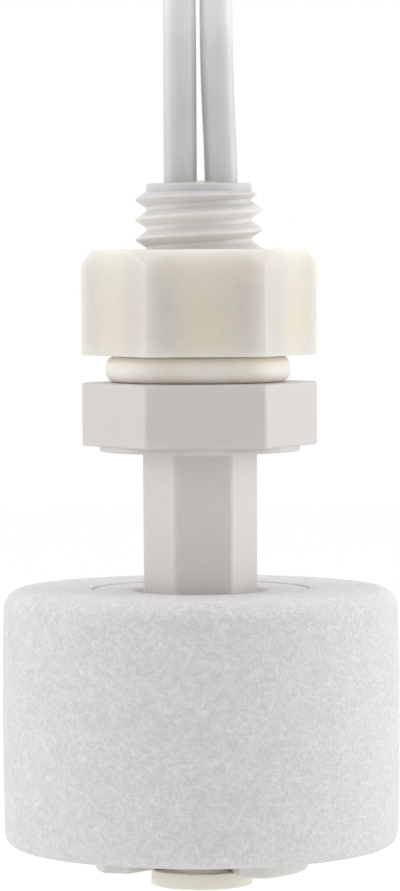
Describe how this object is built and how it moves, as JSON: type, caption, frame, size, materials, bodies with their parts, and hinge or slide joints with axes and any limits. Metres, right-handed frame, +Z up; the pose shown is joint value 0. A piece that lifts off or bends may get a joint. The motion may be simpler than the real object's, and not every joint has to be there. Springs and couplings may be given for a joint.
{
  "type": "float level switch",
  "caption": "Small vertical float level switch in white plastic: threaded shank with hex nut and seal, hex flange and stem, foam float sliding above a retaining clip, leads stored in a hank.",
  "frame": {"origin": "on the stem's axis, at the flange's upper sealing face, where the tank wall lies", "axes": "+Z up along the stem, from the float towards the threaded shank and leads; -Y towards the flats of the hexagons seen from the front; the stored leads lie on the +Y side"},
  "size_m": [0.0252, 0.0578, 0.0668],
  "materials": {
    "stem_plastic": "satin moulded polypropylene",
    "nut_plastic": "natural polypropylene, slightly translucent",
    "silicone": "translucent silicone",
    "foam": "foamed plastic with a felted skin",
    "cap_plastic": "satin",
    "clip_plastic": "natural, satin",
    "ferrite": "matte sintered",
    "glass": "clear",
    "reed_alloy": "drawn nickel-iron",
    "sleeve_plastic": "thin clear-white sleeve",
    "tinned_copper": "tinned strands",
    "solder": "bright solder",
    "resin": "cast resin",
    "wire_insulation": "white PVC, satin",
    "tie_plastic": "soft white band"
  },
  "bodies": {
    "switch_body": {"stem_body": "stem_plastic", "sealing_ring": "silicone", "retaining_clip": "clip_plastic", "reed_glass": "glass", "reed_blade_upper": "reed_alloy", "reed_blade_lower": "reed_alloy", "lead_sleeve": "sleeve_plastic", "conductor_left": "tinned_copper", "conductor_right": "tinned_copper", "solder_joint_left": "solder", "solder_joint_right": "solder", "potting": "resin", "wire_left": "wire_insulation", "wire_right": "wire_insulation", "wire_left_hank": "wire_insulation", "wire_right_hank": "wire_insulation", "wire_left_tail": "wire_insulation", "wire_right_tail": "wire_insulation", "tinned_end_left": "tinned_copper", "tinned_end_right": "tinned_copper", "hank_tie": "tie_plastic"},
    "float_assembly": {"float": "foam", "float_magnet": "ferrite", "magnet_cap": "cap_plastic"},
    "nut": {"clamp_nut": "nut_plastic"}
  },
  "joints": [
    {"name": "float_slide", "type": "slide", "parent": "switch_body", "child": "float_assembly", "axis": [0, 0, 1], "range_m": [0, 0.0087]},
    {"name": "nut_slide", "type": "slide", "parent": "switch_body", "child": "nut", "axis": [0, 0, 1], "range_m": [0, 0.00908]}
  ]
}
